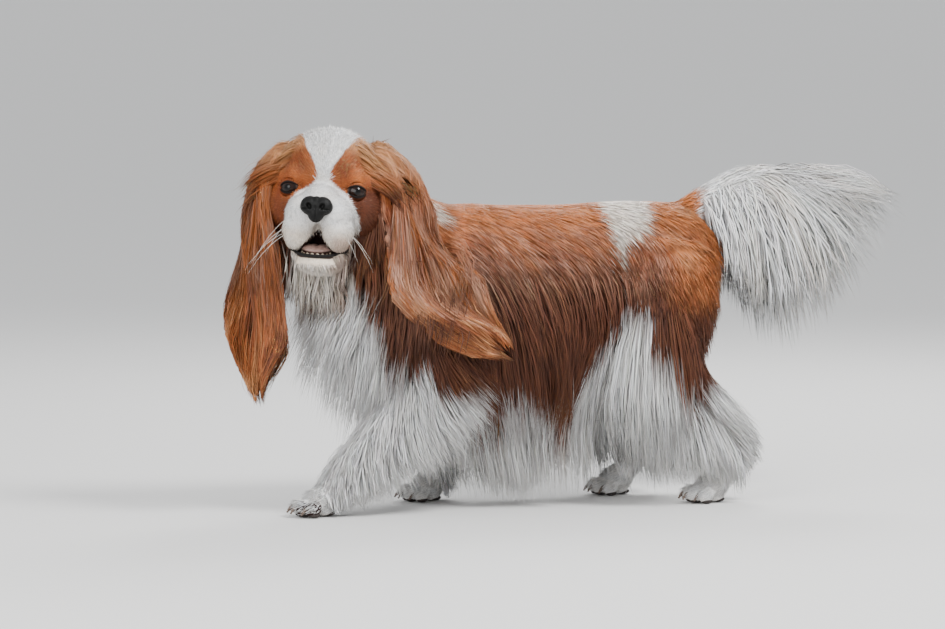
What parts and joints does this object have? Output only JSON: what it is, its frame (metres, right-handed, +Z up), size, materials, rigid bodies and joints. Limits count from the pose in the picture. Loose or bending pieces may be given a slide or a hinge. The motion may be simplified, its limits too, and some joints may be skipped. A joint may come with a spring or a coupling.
{
  "type": "cavalier king charles spaniel",
  "caption": "Still, life-size model of a walking cavalier king charles spaniel with long feathered ears, belly fringe and plumed tail.",
  "frame": {"origin": "on the floor, in the middle of the model's box", "axes": "+Z up, the dog walks towards -X, its left side is towards -Y"},
  "size_m": [0.7322, 0.2224, 0.3988],
  "materials": {
    "chestnut_coat": "silky long coat, rich chestnut with paler hair ends",
    "white_coat": "silky long coat, pearly white",
    "nose_leather": "black, finely pebbled, moist",
    "eye": "dark brown iris under a clear wet cornea",
    "tongue": "pink, moist"
  },
  "bodies": {
    "root": {"torso": "chestnut_coat", "neck": "chestnut_coat", "head": "chestnut_coat", "ear_left": "chestnut_coat", "ear_right": "chestnut_coat", "tail": "white_coat", "jaw": "white_coat", "foreleg_left": "white_coat", "foreleg_right": "white_coat", "hindleg_left": "white_coat", "hindleg_right": "white_coat", "forepaw_left": "white_coat", "forepaw_right": "white_coat", "hindpaw_left": "white_coat", "hindpaw_right": "white_coat", "nose": "nose_leather", "eye_left": "eye", "eye_right": "eye", "tongue": "tongue"}
  },
  "joints": []
}
